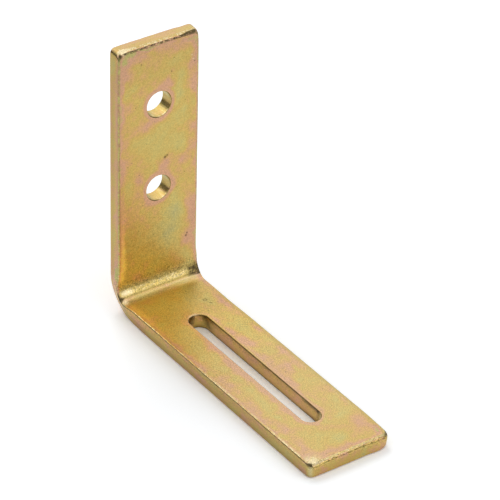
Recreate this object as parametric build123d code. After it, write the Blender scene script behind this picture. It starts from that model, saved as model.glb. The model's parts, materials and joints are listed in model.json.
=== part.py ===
from build123d import *
import math
import os

# Folded angle bracket, cold bent from one flat steel bar. The upright leg stands at the back, the foot runs
# towards -Y and lies on z = 0. The origin is at the middle of the bracket's floor area.

# The flat bar
bar_width = 30.0
bar_thickness = 5.0
long_edge_radius = 0.5

# The legs, measured over the outside of the fold
upright_height = 95.4
foot_length = 109.0

# The fold. Its squeezed inner side spreads past the bar, its stretched outer side draws in, and both settle
# back to the bar's own section a little way into each leg.
fold_inner_radius = 5.0
fold_spread = 0.6
fold_draw_in = 0.65
fold_settling_length = 3.0
fold_section_count = 21

# Corners of the sheared ends
corner_radius = 1.5

# Round holes in the upright, measured from its top
hole_count = 2
hole_diameter = 9.0
hole_spacing = 30.6
top_hole_margin = 22.5

# One long slot in the foot, measured from its free end
slot_width = 6.8
slot_length = 66.5
slot_end_margin = 17.0

# Broken rims of the punched holes and of the slot
rim_chamfer = 0.25

# Sizes that follow from the ones above
fold_middle_radius = fold_inner_radius + bar_thickness / 2
fold_outer_radius = fold_inner_radius + bar_thickness
half_fold_length = fold_middle_radius * math.pi / 4 + fold_settling_length
fold_reach = fold_outer_radius + fold_settling_length
back_face_y = foot_length / 2
fold_centre = Vector(0, back_face_y - fold_outer_radius, fold_outer_radius)


def fold_plane(distance):
    """Plane across the bar at a distance along its middle line, measured from the middle of the fold."""
    turned = math.pi / 4 + distance / fold_middle_radius
    turned = min(max(turned, 0.0), math.pi / 2)
    straight = distance - (turned - math.pi / 4) * fold_middle_radius
    outwards = Vector(0, math.cos(turned), -math.sin(turned))
    along = Vector(0, -math.sin(turned), -math.cos(turned))
    return Plane(
        origin=fold_centre + outwards * fold_middle_radius + along * straight,
        x_dir=(1, 0, 0),
        z_dir=along,
    )


def fold_section(distance):
    """Section of the bar in the fold: a trapezium, wide inside and narrow outside, with rounded corners."""
    swell = math.cos(math.pi / 2 * distance / half_fold_length) ** 2
    inner_half = bar_width / 2 + fold_spread * swell
    outer_half = bar_width / 2 - fold_draw_in * swell
    half_thickness = bar_thickness / 2
    trapezium = Polygon(
        (-outer_half, -half_thickness),
        (outer_half, -half_thickness),
        (inner_half, half_thickness),
        (-inner_half, half_thickness),
        align=None,
    )
    return fold_plane(distance) * fillet(trapezium.vertices(), long_edge_radius)


def fold():
    """The bent stretch of the bar, with its settling length into each leg."""
    step = 2 * half_fold_length / (fold_section_count - 1)
    distances = [step * n - half_fold_length for n in range(fold_section_count)]
    return loft([fold_section(distance) for distance in distances])


def leg(length, punched):
    """Straight leg from the fold at y = 0 to its sheared end, with what is punched out of it."""
    outline = Rectangle(bar_width, length, align=(Align.CENTER, Align.MIN))
    outline = fillet(outline.vertices().group_by(Axis.Y)[-1], corner_radius)
    blank = extrude(outline - punched, amount=bar_thickness / 2, both=True)

    broad_sides = blank.faces().filter_by(Axis.Z)
    rims = [rim.edges() for side in broad_sides for rim in side.inner_wires()]
    blank = chamfer(rims, rim_chamfer)

    broad_sides = blank.faces().filter_by(Axis.Z)
    free_edges = [side.outer_wire().edges().sort_by(Axis.Y)[1:] for side in broad_sides]
    return fillet(free_edges, long_edge_radius)


def upright():
    """The upright leg, its holes placed from its top."""
    straight_height = upright_height - fold_reach
    top_hole = straight_height - top_hole_margin
    holes = [Pos(0, top_hole - hole_spacing * n) * Circle(hole_diameter / 2) for n in range(hole_count)]
    middle = Plane(
        origin=(0, back_face_y - bar_thickness / 2, fold_reach),
        x_dir=(1, 0, 0),
        z_dir=(0, -1, 0),
    )
    return middle * leg(straight_height, Sketch() + holes)


def foot():
    """The foot, its slot placed from its free end."""
    straight_length = foot_length - fold_reach
    slot_middle = straight_length - slot_end_margin - slot_length / 2
    slot = Pos(0, slot_middle) * SlotOverall(slot_length, slot_width, rotation=90)
    middle = Plane(
        origin=(0, back_face_y - fold_reach, bar_thickness / 2),
        x_dir=(1, 0, 0),
        z_dir=(0, 0, -1),
    )
    return middle * leg(straight_length, slot)


angle_bracket = upright() + fold() + foot()

os.makedirs("parts", exist_ok=True)
export_step(angle_bracket, "parts/angle_bracket.step")
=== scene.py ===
"""Dresses the folded angle bracket: one plated flat bar, sheared, punched and folded once."""

import json
import logging
import math
from dataclasses import dataclass, field
from enum import Enum
from typing import Callable, NamedTuple, Sequence

import bpy
from mathutils import Matrix, Vector, noise


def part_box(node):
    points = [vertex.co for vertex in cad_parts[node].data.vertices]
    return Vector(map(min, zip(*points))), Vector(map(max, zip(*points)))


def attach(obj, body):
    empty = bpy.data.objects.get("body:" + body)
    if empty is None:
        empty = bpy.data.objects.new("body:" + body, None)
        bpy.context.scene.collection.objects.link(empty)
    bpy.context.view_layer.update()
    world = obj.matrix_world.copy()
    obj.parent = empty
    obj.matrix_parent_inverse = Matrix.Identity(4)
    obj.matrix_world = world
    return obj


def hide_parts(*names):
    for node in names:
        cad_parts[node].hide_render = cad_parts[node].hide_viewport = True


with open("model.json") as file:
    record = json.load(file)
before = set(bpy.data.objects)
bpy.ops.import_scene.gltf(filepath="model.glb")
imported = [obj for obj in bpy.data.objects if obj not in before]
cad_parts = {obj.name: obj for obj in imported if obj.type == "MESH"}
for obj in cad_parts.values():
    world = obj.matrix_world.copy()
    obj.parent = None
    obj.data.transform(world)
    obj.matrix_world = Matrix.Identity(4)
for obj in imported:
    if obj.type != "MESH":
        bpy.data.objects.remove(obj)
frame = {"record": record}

Triple = tuple[float, float, float]

LOG = logging.getLogger("angle_bracket")
MILLIMETRE = 0.001
NODE = "angle_bracket"
PHOTO_PIXELS = 500

# The numbers that the bar's mesh carries for its material: the film, wear with painted shade, painted highlight,
# gloss, grain, and painted light that is painted shade where negative
LAYERS = ("film", "wear", "shine", "gloss", "grain", "glow")

# A mark's reach along the bar in millimetres, the width of a ring as a share of its radius, a dent's steepness
MARK_REACH = 3.0
RING_WIDTH = 0.35
DENT_STEEPNESS = 1.5

# Depth in millimetres below which a face counts as narrow, and how near a rim a place counts as on it
NARROW_DEPTH = 0.4
RIM_REACH = 0.3

# Where the upright's sheared face begins along the flat bar, in millimetres
SHEARED_TOP = 84.0


def mount(name: str) -> dict:
    """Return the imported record's mount of that name."""
    return next(entry for entry in frame["record"]["mounts"] if entry["name"] == name)


def clamp(value: float) -> float:
    """Return a value held between 0 and 1."""
    return min(max(value, 0.0), 1.0)


def smooth(value: float, low: float, high: float) -> float:
    """Ease from 0 at low to 1 at high."""
    share = clamp((value - low) / (high - low))
    return share * share * (3 - 2 * share)


def band(value: float, low: float, full: float, ebb: float, high: float) -> float:
    """Ease from 0 at low to 1 at full, and from 1 at ebb back to 0 at high."""
    return smooth(value, low, full) * (1 - smooth(value, ebb, high))


def bump(value: float, middle: float, width: float) -> float:
    """Return a soft bump: 1 at its middle, falling off over its width."""
    return math.exp(-((value - middle) / width) ** 2)


def spot(x: float, z: float, across: float, along: float, radius: float) -> float:
    """Return a soft round spot: 1 at its middle, falling off over its radius."""
    return bump(math.hypot(x - across, z - along), 0.0, radius)


def towards(value: float, goal: float, share: float) -> float:
    """Return a value moved towards its goal by a share of the way."""
    return value + (goal - value) * share


def spaced(low: float, high: float, step: float) -> list[float]:
    """Return evenly spaced places from low up to, but without, high, about a step apart."""
    count = max(round((high - low) / step), 1)
    return [low + (high - low) * n / count for n in range(count)]


def deselect_all() -> None:
    """Leave object mode with nothing selected."""
    if bpy.context.object and bpy.context.object.mode != "OBJECT":
        bpy.ops.object.mode_set(mode="OBJECT")
    bpy.ops.object.select_all(action="DESELECT")


def activate(piece: bpy.types.Object) -> None:
    """Select one object alone and make it the active one.

    Args:
        piece: The object.
    """
    deselect_all()
    piece.select_set(True)
    bpy.context.view_layer.objects.active = piece


def choose(piece: bpy.types.Object, kind: str, test: Callable) -> None:
    """Enter edit mode with only the elements that pass a test selected.

    Args:
        piece: The mesh object to edit.
        kind: Which elements are tested: vertices, edges or polygons.
        test: Called with each element, true where it is to be selected.
    """
    activate(piece)
    mode = {"vertices": "VERT", "edges": "EDGE", "polygons": "FACE"}[kind]
    bpy.ops.object.mode_set(mode="EDIT")
    bpy.ops.mesh.select_mode(type=mode)
    bpy.ops.mesh.select_all(action="DESELECT")
    bpy.ops.object.mode_set(mode="OBJECT")
    for element in getattr(piece.data, kind):
        element.select = bool(test(element))
    bpy.ops.object.mode_set(mode="EDIT")


def apply_modifier(piece: bpy.types.Object, modifier: bpy.types.Modifier) -> None:
    """Apply one modifier of a piece."""
    activate(piece)
    bpy.ops.object.modifier_apply(modifier=modifier.name)


def show_in_mirrors(piece: bpy.types.Object, cover: bpy.types.Material) -> None:
    """Cover a piece of the studio and hide it from all but reflections."""
    piece.visible_camera = piece.visible_diffuse = piece.visible_shadow = False
    piece.data.materials.append(cover)


class Place(NamedTuple):
    """A place on the flat bar before it is folded, in millimetres.

    Attributes:
        x: Place across the bar, from its middle.
        y: Place through the bar, the inner side negative.
        z: Place along the bar, from the fold's upper end, upwards positive.
    """

    x: float
    y: float
    z: float

    def cloud(self, size: float, seed: float, fineness: Triple = (1, 1, 1)) -> float:
        """Return smooth seeded noise.

        Args:
            size: Rough size of the noise's patches, in millimetres.
            seed: Shift that makes one pattern differ from another.
            fineness: How much finer than that the noise is along each axis.

        Returns:
            A value between about -1 and 1.
        """
        x, y, z = (value * fine / size for value, fine in zip(self, fineness))
        return noise.noise(Vector((x + seed, y - seed, z + 2 * seed)))


class Tint(Enum):
    """Colour of the passivation film in a place, as the film's thickness from 0 to 1."""

    MOSS = 0.04
    ROSE = 0.27
    SALMON = 0.45
    GOLD = 0.62
    LIME = 0.80
    MIST = 1.0


@dataclass(frozen=True)
class Bloom:
    """A soft patch of one tint on the inner side, placed on the flat bar before it is folded.

    Attributes:
        across: Place across the width, in millimetres from the middle.
        along: Place along the bar, in millimetres from the fold's upper end, upwards positive.
        wide: Half width of the patch, in millimetres.
        long: Half length of the patch, in millimetres.
        tint: The tint of the patch.
        strength: How far the patch turns to its tint, from 0 to 1.
    """

    across: float
    along: float
    wide: float
    long: float
    tint: Tint
    strength: float

    def share(self, x: float, z: float) -> float:
        """Return how much of the patch's tint a place on the flat bar takes."""
        spread = ((x - self.across) / self.wide) ** 2 + ((z - self.along) / self.long) ** 2
        return self.strength * math.exp(-spread)


@dataclass(frozen=True)
class Mark:
    """A small dent or scuff in the inner side, placed as a bloom is.

    Attributes:
        across: Place across the width, in millimetres.
        along: Place along the bar, in millimetres.
        radius: Radius of the mark, in millimetres.
        depth: Depth of the mark, in millimetres.
        ring: True where the mark is a pressed ring with an untouched middle.
        bright: True where it carries a painted highlight rather than being dark.
    """

    across: float
    along: float
    radius: float
    depth: float
    ring: bool = False
    bright: bool = False

    @property
    def darkness(self) -> float:
        """How dark the mark is at its deepest, from 0 to 1."""
        return 0.0 if self.bright else 0.55 if self.ring else 0.9

    def covers(self, x: float, z: float, reach: float) -> bool:
        """True for a place within a reach of the mark, in radii."""
        return math.hypot(x - self.across, z - self.along) < reach * self.radius

    def share(self, x: float, z: float) -> float:
        """Return how deep the mark is at a place.

        Args:
            x: Place across the bar, in millimetres.
            z: Place along the bar.

        Returns:
            The share of its full depth, from 0 to 1.
        """
        if abs(z - self.along) >= MARK_REACH:
            return 0.0
        reach = math.hypot(x - self.across, z - self.along) / self.radius
        if self.ring:
            return bump(reach, 1.0, RING_WIDTH)
        return math.exp(-reach ** 2 * DENT_STEEPNESS)


@dataclass(frozen=True)
class Punched:
    """A hole or slot punched through the flat bar.

    Attributes:
        radius: Half of its width, in millimetres.
        along: Its middle along the flat bar, in millimetres.
        length: Its length from end to end, in millimetres.
        film: The film's thickness at its rim.
        across: How far the punch struck off the bar's middle, in millimetres.
    """

    radius: float
    along: float
    length: float
    film: float
    across: float = 0.0

    def gap(self, x: float, z: float) -> float:
        """Return a place's distance from the rim, in millimetres.

        Args:
            x: Place across the bar.
            z: Place along the bar.

        Returns:
            The distance, negative inside the hole.
        """
        straight = self.length / 2 - self.radius
        beyond = max(abs(z - self.along) - straight, 0.0)
        return math.hypot(x - self.across, beyond) - self.radius

    def tool(self, depth: float) -> bpy.types.Object:
        """Make the punch: a round bar, pulled apart into a slot's shape where the hole is long.

        Args:
            depth: Length of the punch.

        Returns:
            The punch, to be cut from the bar.
        """
        deselect_all()
        bpy.ops.mesh.primitive_cylinder_add(vertices=80, radius=self.radius, depth=depth,
                                            location=(self.across, 0, self.along),
                                            rotation=(math.pi / 2, 0, 0))
        punch = bpy.context.object
        bpy.ops.object.transform_apply(location=True, rotation=True, scale=True)
        straight = self.length / 2 - self.radius
        if straight > 0:
            for sign in (1, -1):
                choose(punch, "vertices", lambda v: (v.co.z - self.along) * sign > 1e-4)
                bpy.ops.transform.translate(value=(0, 0, sign * straight))
                bpy.ops.object.mode_set(mode="OBJECT")
        return punch


@dataclass(frozen=True)
class Rounding:
    """The rounded edge nearest to a place on the flat bar, taken across the edge.

    Attributes:
        radius: Radius of the rounding, in millimetres.
        off_gap: How far the place lies beyond the rounding's centre, towards the outline.
        off_depth: How far it lies beyond the centre, towards the broad side.
        outward: Direction to the outline, across and along the bar, with the broad side's sign between them.
    """

    radius: float
    off_gap: float
    off_depth: float
    outward: Vector

    @property
    def bent(self) -> bool:
        """True for a place on the rounding itself."""
        return self.off_gap > 0 and self.off_depth > 0

    @property
    def gap(self) -> float:
        """Distance from the outline, in millimetres."""
        return max(self.radius - self.off_gap, 0.0)

    @property
    def turn(self) -> float:
        """How far round the edge the place is: 0 at the narrow face, 1 at the broad side."""
        return math.atan2(self.off_depth, self.off_gap) / (math.pi / 2)


@dataclass(frozen=True)
class FilmMap:
    """How thick the passivation film is over the flat bar, which gives the finish its bands of colour.

    The film is thin along the outline and round the rims, and thickens over a reach in millimetres. The blooms
    are laid over it in their order.
    """

    edge_film: float = 0.16
    edge_reach: float = 3.0
    plain_film: float = 0.62
    thick_film: float = 0.9
    rim_plateau: float = 1.1
    rim_reach: float = 1.5
    blooms: Sequence[Bloom] = tuple(Bloom(*row) for row in (
        (-13.9, 71.4, 0.9, 1.6, Tint.MOSS, 0.8), (-14.0, 64.9, 0.8, 2.6, Tint.MOSS, 0.7),
        (-12.4, 76.9, 1.6, 2.6, Tint.ROSE, 0.8), (-6.0, 80.8, 4.2, 1.9, Tint.ROSE, 0.8),
        (1.0, 77.4, 8.5, 4.5, Tint.SALMON, 0.45), (6.5, 81.2, 5.0, 2.0, Tint.ROSE, 0.7),
        (2.7, 68.8, 3.2, 1.8, Tint.ROSE, 0.9), (-4.2, 56.4, 3.4, 2.6, Tint.ROSE, 0.9),
        (-0.2, 46.4, 4.8, 4.4, Tint.LIME, 0.9), (1.5, 50.9, 2.4, 2.4, Tint.MIST, 0.5),
        (-6.5, 48.9, 3.0, 3.5, Tint.LIME, 0.7), (7.8, 45.4, 3.0, 3.4, Tint.MIST, 0.55),
        (5.5, 55.4, 3.4, 3.2, Tint.LIME, 0.5), (2.4, 39.4, 2.4, 2.2, Tint.ROSE, 0.95),
        (0.4, 36.6, 2.4, 1.4, Tint.ROSE, 0.7), (12.2, 71.4, 1.5, 6.0, Tint.ROSE, 0.5),
        (13.4, 59.9, 1.1, 2.6, Tint.LIME, 0.7), (12.3, 44.9, 1.8, 5.5, Tint.ROSE, 0.6),
        (12.4, 19.9, 1.9, 6.5, Tint.ROSE, 0.9), (11.2, 8.9, 2.4, 4.0, Tint.ROSE, 0.9),
        (13.8, 29.9, 1.1, 3.0, Tint.LIME, 0.7), (6.2, 19.9, 2.6, 5.0, Tint.MIST, 0.95),
        (3.4, 13.9, 3.2, 3.4, Tint.MIST, 0.95), (-2.5, 16.4, 2.5, 2.5, Tint.LIME, 0.6),
        (9.8, 4.0, 1.8, 2.2, Tint.LIME, 0.8), (-11.4, 32.9, 1.8, 3.5, Tint.LIME, 0.6),
        (-3.2, 26.9, 2.6, 2.0, Tint.ROSE, 0.8), (-13.6, 30.4, 0.9, 9.0, Tint.SALMON, 0.8),
        (-13.4, 13.4, 0.9, 11.0, Tint.SALMON, 0.9), (-13.2, 0.4, 1.2, 4.0, Tint.GOLD, 0.9),
        (5.0, 2.9, 4.0, 2.5, Tint.SALMON, 0.5), (13.2, -25.3, 2.4, 7.0, Tint.ROSE, 0.9),
        (-13.0, -20.3, 1.2, 5.5, Tint.SALMON, 0.5), (-12.0, -31.3, 1.4, 5.0, Tint.SALMON, 0.3),
        (-2.0, -20.3, 8.0, 6.5, Tint.LIME, 0.85), (-8.0, -34.3, 4.0, 6.0, Tint.LIME, 0.85),
        (-9.5, -44.3, 3.0, 6.0, Tint.LIME, 0.6), (0.0, -7.8, 14.0, 0.9, Tint.SALMON, 0.45),
        (0.0, -10.6, 12.0, 1.6, Tint.GOLD, 0.8), (-12.8, -17.3, 1.6, 7.0, Tint.GOLD, 0.7),
        (-3.0, 9.4, 8.0, 8.0, Tint.LIME, 0.5), (9.8, -40.8, 2.2, 5.0, Tint.LIME, 0.8),
        (6.2, -46.8, 1.8, 3.4, Tint.ROSE, 0.7), (9.4, -56.3, 2.2, 4.0, Tint.LIME, 0.6),
        (9.0, -66.8, 2.6, 4.5, Tint.ROSE, 0.75), (13.6, -62.3, 1.8, 7.0, Tint.ROSE, 0.6),
        (-5.6, -43.8, 1.8, 3.4, Tint.ROSE, 0.7), (-5.4, -60.3, 1.6, 8.0, Tint.ROSE, 0.8),
        (-9.4, -53.3, 1.8, 4.5, Tint.LIME, 0.5), (-11.8, -64.3, 1.8, 7.0, Tint.ROSE, 0.6),
        (-12.2, -80.0, 1.8, 4.0, Tint.ROSE, 0.7), (-8.0, -71.8, 1.8, 4.5, Tint.LIME, 0.8),
        (5.6, -72.3, 1.4, 10.0, Tint.ROSE, 0.5), (-0.2, -103.9, 4.4, 2.6, Tint.LIME, 0.95),
        (1.0, -104.9, 2.0, 1.4, Tint.MIST, 0.6), (-13.4, -107.7, 1.8, 1.8, Tint.MOSS, 1.0),
        (-8.4, -77.4, 1.4, 4.6, Tint.LIME, 0.9), (-9.2, -86.3, 1.1, 1.6, Tint.MIST, 0.8),
        (-11.0, -92.5, 1.8, 5.0, Tint.ROSE, 0.6), (-7.0, -108.4, 4.6, 1.6, Tint.ROSE, 0.9),
        (-11.4, -103.4, 1.8, 4.2, Tint.ROSE, 0.7), (2.0, -109.4, 6.0, 1.1, Tint.ROSE, 0.7),
        (-7.6, -42.0, 2.6, 5.0, Tint.LIME, 0.8), (10.8, -101.8, 2.8, 4.6, Tint.ROSE, 0.85),
        (10.7, -68.6, 0.7, 1.3, Tint.LIME, 0.8), (13.6, -106.8, 1.2, 1.6, Tint.MOSS, 0.9),
        (10.0, -79.3, 2.4, 5.0, Tint.GOLD, 0.7), (-12.6, 81.4, 1.5, 2.2, Tint.MOSS, 1.0),
        (-10.4, 82.9, 2.2, 1.1, Tint.MOSS, 0.9), (13.6, 80.4, 0.8, 2.6, Tint.MOSS, 0.7),
        (-3.0, 83.7, 9.0, 0.5, Tint.MOSS, 0.9), (11.4, 82.4, 2.6, 0.9, Tint.MOSS, 1.0),
        (-12.4, -109.2, 2.0, 1.2, Tint.MIST, 0.9), (12.6, -108.0, 0.9, 1.6, Tint.MOSS, 1.0),
    ))

    def broad(self, at: Place, edge_gap: float, rim: Punched) -> float:
        """Return the film's thickness on a broad side of the flat bar.

        Args:
            at: The place.
            edge_gap: Its distance from the bar's outline, in millimetres.
            rim: The nearest hole or slot.

        Returns:
            The thickness, from 0 to 1.
        """
        x, y, z = at
        gap, slotted = rim.gap(x, z), z < 0
        ragged = 1 + 0.7 * at.cloud(5, 2.9)
        beyond = max(gap - (self.rim_plateau + 0.8 * slotted * (x < 0)) * ragged, 0.0)
        from_edge = towards(self.edge_film, self.thick_film, 1 - math.exp(-edge_gap / self.edge_reach / ragged))
        from_rim = towards(rim.film, self.thick_film, 1 - math.exp(-beyond / self.rim_reach / ragged))
        gilt = bump(gap, 0, 0.9) * (1 - smooth(-z, 55, 75)) * slotted * smooth(x, 1.0, 3.0)
        from_rim = towards(from_rim, 0.66, gilt)
        drift = 0.18 * at.cloud(11, 3.1) + 0.24 * at.cloud(4.5, 7.7) + 0.14 * at.cloud(1.8, 1.3)
        drift *= 0.3 + 0.7 * smooth(gap, 0.5, 2.5)
        film = min(from_edge, from_rim, self.plain_film) + drift * smooth(edge_gap, 0.0, 1.5)
        if y < 0:
            strayed = (x + 0.9 * at.cloud(2.6, 5.5), z + 1.4 * at.cloud(2.6, 9.5))
            for bloom in self.blooms:
                film = towards(film, bloom.tint.value, bloom.share(*strayed))
        return clamp(film)

    def narrow(self, at: Place) -> float:
        """Return the film's thickness on a narrow face, drawn out along the bar by shearing or rolling.

        Args:
            at: The place.

        Returns:
            The thickness, mostly from 0 to 1.
        """
        x, y, z = at
        if z > SHEARED_TOP:
            return 0.58 - 0.12 * smooth(y, 0.4, 2.0) + 0.20 * at.cloud(1.2, 6.1, (0.12, 1.4, 1))
        streak = 0.32 * at.cloud(2.4, 6.1, (0.6, 1, 0.35)) + 0.18 * at.cloud(1.1, 8.3)
        pink_end = 0.06 * smooth(-z, 110.0, 111.0) * smooth(x, 3.0, 8.0)
        film = 0.56 + 0.04 * smooth(-z, 12.0, 25.0) - pink_end + streak
        film = towards(film, 0.30, 0.6 * smooth(-y, 0.0, 1.6) * smooth(z, -1.0, 3.0) * (x < 0))
        return towards(film, 0.0, bump(z, 3.8, 3.6) * smooth(-y, -0.4, 0.8) * (x < 0))

    def wall(self, at: Place, rim: Punched) -> float:
        """Return the film's thickness inside a hole or slot, drawn out through the bar by the punch, with a
        painted reflection on a hole's wall and a painted highlight at the slot's near end.

        Args:
            at: The place.
            rim: The hole or slot.

        Returns:
            The thickness, mostly from 0 to 1.
        """
        x, y, z = at
        streak = 0.14 * at.cloud(1.6, 4.4, (1, 0.3, 1)) + 0.14 * at.cloud(0.5, 3.7, (1, 0.2, 1))
        if z < 0:
            salmon = bump(math.dist(at, (2.3, -0.9, -28.4)), 0, 0.9)
            salmon += 0.7 * bump(z, -39.4, 2.6) * bump(y, 0.2, 1.0) * (x > 0)
            ruddy = band(-z, 31.5, 35, 89, 92) * (x > 0)
            film = 0.62 - 0.12 * ruddy + 0.5 * streak + 0.16 * at.cloud(1.3, 9.1, (1, 0.8, 0.4))
            # The slot's wall pales at its near end into a painted highlight
            return film + (0.42 - film) * salmon + (1.0 - film) * 0.7 * bump(z, -91.6, 0.5) * (x > 0)
        right, up = (x - rim.across) / rim.radius, (z - rim.along) / rim.radius
        # Grey at a hole wall's lower left and upper part is a painted reflection
        grey = max(smooth(-right, 0.15, 0.6) * smooth(-up, 0.3, 0.6), smooth(up, 0.0, 0.4))
        return 0.62 + streak + 0.34 * grey


@dataclass
class FoldedBar:
    """The bracket itself, modelled flat as it was punched, then folded.

    Lengths are in millimetres. While the bar is flat its width lies along X, its thickness along Y with the
    inner side at -Y, and its length along Z, with the upright above z = 0 and the fold and the foot below it.
    """

    width: float = 30.0
    thickness: float = 5.0
    corner_radius: float = 1.7

    # The fold: how far its inner side spreads and its outer side draws in, and over which length it settles
    fold_inner_radius: float = 5.6
    fold_spread: float = 0.6
    fold_draw_in: float = 0.65
    fold_settling: float = 3.0
    curl_reach: float = 4.2
    curl_depth: float = 0.9

    # Radii of the rounded edges: plain, round a rim, at a sheared end inside and outside, and what is added at
    # the corners and along the foot's right edge
    edge_rounding: float = 0.5
    rim_rounding: float = 0.22
    end_rounding: float = 1.45
    outer_rounding: float = 0.6
    corner_rounding: float = 0.9
    rolled_rounding: float = 0.3

    # How far the corners are pulled in: the left ones at the upright's inner and outer side and at the foot,
    # then the right ones, with what the foot's gains towards its outer side
    left_fill: Triple = (0.40, 0.08, 0.12)
    right_fill: Triple = (-0.10, -0.10, -0.20)
    right_foot_gain: float = 0.72
    shear_lean: float = 0.25

    # Spacing of the grid that the bar is cut into
    grid_across: float = 0.45
    grid_along: float = 0.7
    grid_fold: float = 0.36
    grid_through: float = 0.7

    # Depth of the waviness left by rolling, on the outermost skin only
    swell_depth: float = 0.018
    swell_size: float = 7.0
    skin: float = 0.6

    marks: Sequence[Mark] = (
        Mark(2.5, 42.3, 0.55, 0.14),
        Mark(3.3, 42.8, 0.35, 0.08),
        Mark(10.8, 9.9, 0.45, 0.12),
        Mark(11.2, 10.8, 0.35, 0.10),
        Mark(12.3, 76.3, 0.30, 0.10, bright=True),
        Mark(12.9, 74.7, 0.35, 0.12, bright=True),
        Mark(13.3, 73.9, 0.25, 0.10),
        Mark(4.7, 72.7, 0.25, 0.06),
        Mark(-6.6, 78.6, 0.22, 0.05),
        Mark(8.1, -22.3, 0.55, 0.06, ring=True),
        Mark(8.7, -24.3, 0.25, 0.10),
        Mark(9.0, -24.8, 0.25, 0.10),
        Mark(6.9, -68.3, 0.22, 0.03),
    )
    height: float = field(init=False)
    reach: float = field(init=False)
    punched: list[Punched] = field(init=False)

    def __post_init__(self) -> None:
        """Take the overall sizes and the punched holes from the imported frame."""
        low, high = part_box(NODE)
        self.height = (high[2] - low[2]) / MILLIMETRE
        self.reach = (high[1] - low[1]) / MILLIMETRE
        holes, slot = mount("upright_holes"), mount("foot_slot")
        radius, spacing = holes["dims"]["hole_r_mm"], holes["dims"]["spacing_y_mm"]
        middle = holes["pos_m"][2] / MILLIMETRE - self.fold_outer_radius
        from_end = slot["pos_m"][1] / MILLIMETRE + self.reach / 2
        self.punched = [Punched(radius, middle + spacing / 2, 2 * radius, film=0.30, across=0.15),
                        Punched(radius, middle - spacing / 2, 2 * radius, film=0.30, across=0.10),
                        Punched(slot["dims"]["hole_r_mm"], self.bottom + from_end,
                                slot["dims"]["slot_length_mm"], film=0.38)]

    @property
    def fold_outer_radius(self) -> float:
        """Outer radius of the fold."""
        return self.fold_inner_radius + self.thickness

    @property
    def fold_length(self) -> float:
        """Length of the fold along the middle of the bar."""
        return math.pi / 2 * (self.fold_inner_radius + self.thickness / 2)

    @property
    def top(self) -> float:
        """Flat place of the upright's sheared end."""
        return self.height - self.fold_outer_radius

    @property
    def bottom(self) -> float:
        """Flat place of the foot's sheared end."""
        return self.fold_outer_radius - self.fold_length - self.reach

    def outline(self, x: float, z: float) -> Triple:
        """Find the nearest place on the flat bar's outline, a rectangle with rounded corners.

        Args:
            x: Place across the bar, in millimetres.
            z: Place along the bar.

        Returns:
            The distance to the outline, and the direction across it, outwards, across and along the bar.
        """
        middle, half_long = (self.top + self.bottom) / 2, (self.top - self.bottom) / 2
        over_x = abs(x) - (self.width / 2 - self.corner_radius)
        over_z = abs(z - middle) - (half_long - self.corner_radius)
        side, end = math.copysign(1, x), math.copysign(1, z - middle)
        if over_x > 0 and over_z > 0:
            reach = math.hypot(over_x, over_z)
            return self.corner_radius - reach, side * over_x / reach, end * over_z / reach
        if over_x > over_z:
            return self.corner_radius - over_x, side, 0.0
        return self.corner_radius - over_z, 0.0, end

    def gap_edge(self, x: float, z: float) -> float:
        """Return a place's distance from the bar's outline, in millimetres."""
        return self.outline(x, z)[0]

    def nearest_rim(self, x: float, z: float) -> Punched:
        """Return the hole or slot whose rim is nearest to a place."""
        return min(self.punched, key=lambda hole: hole.gap(x, z))

    def gap_rim(self, x: float, z: float) -> float:
        """Return a place's distance from the nearest rim, in millimetres."""
        return self.nearest_rim(x, z).gap(x, z)

    def folded(self, z: float) -> float:
        """Return how far round the fold a place is: 0 degrees at its upper end, 90 at its lower."""
        return -z / self.fold_length * 90

    def crease(self, z: float) -> float:
        """Return how far into the fold a place is: 1 at its middle, 0 where it has settled."""
        half, distance = self.fold_length / 2 + self.fold_settling, z + self.fold_length / 2
        return math.cos(math.pi / 2 * distance / half) ** 2 if abs(distance) < half else 0.0

    def rounding(self, at: Place) -> Rounding:
        """Describe the rounded edge near a place, fuller at the sheared ends and their corners.

        Args:
            at: The place on the flat bar.

        Returns:
            The rounding, with the place's position on it.
        """
        x, y, z = at
        gap, out_x, out_z = self.outline(x, z)
        depth = self.thickness / 2 - abs(y)
        to_end = min(self.top - z, z - self.bottom)
        to_side = self.width / 2 - abs(x)
        at_end = smooth(-to_end, -self.corner_radius - 0.6, -0.4)
        corner = math.exp(-max(to_end, 0.0) / 2.2 - max(to_side, 0.0) / 4.0)
        full = self.end_rounding if y < 0 else self.outer_rounding
        radius = towards(self.edge_rounding, full, at_end)
        radius += self.corner_rounding * corner * (1.0 if y < 0 else 0.15 if z > 0 else 0.5)
        radius += self.rolled_rounding * smooth(x, 0, 10) * smooth(-z, 14, 30) * (y < 0) * (1 - at_end)
        level = (1, 0, 1)
        radius *= 1 + (0.16 * at.cloud(2.4, 1.1, level) + 0.12 * at.cloud(0.8, 2.1, level)) * at_end
        return Rounding(radius, radius - gap, radius - depth, Vector((out_x, math.copysign(1, y), out_z)))

    def blank(self) -> bpy.types.Object:
        """Shear the flat bar: a plane with rounded corners, extruded to the bar's thickness.

        Returns:
            The flat bar.
        """
        deselect_all()
        bpy.ops.mesh.primitive_plane_add(size=1, rotation=(math.pi / 2, 0, 0))
        bar = bpy.context.object
        bar.name = bar.data.name = "plated_bracket"
        bar.scale = (self.width, self.top - self.bottom, 1)
        bar.location = (0, -self.thickness / 2, (self.top + self.bottom) / 2)
        bpy.ops.object.transform_apply(location=True, rotation=True, scale=True)
        choose(bar, "vertices", lambda v: True)
        bpy.ops.mesh.bevel(offset=self.corner_radius, segments=8, affect="VERTICES")
        bpy.ops.mesh.select_all(action="SELECT")
        bpy.ops.mesh.extrude_region_move(TRANSFORM_OT_translate={"value": (0, self.thickness, 0)})
        bpy.ops.mesh.select_all(action="SELECT")
        bpy.ops.mesh.normals_make_consistent(inside=False)
        bpy.ops.object.mode_set(mode="OBJECT")
        return bar

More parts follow.
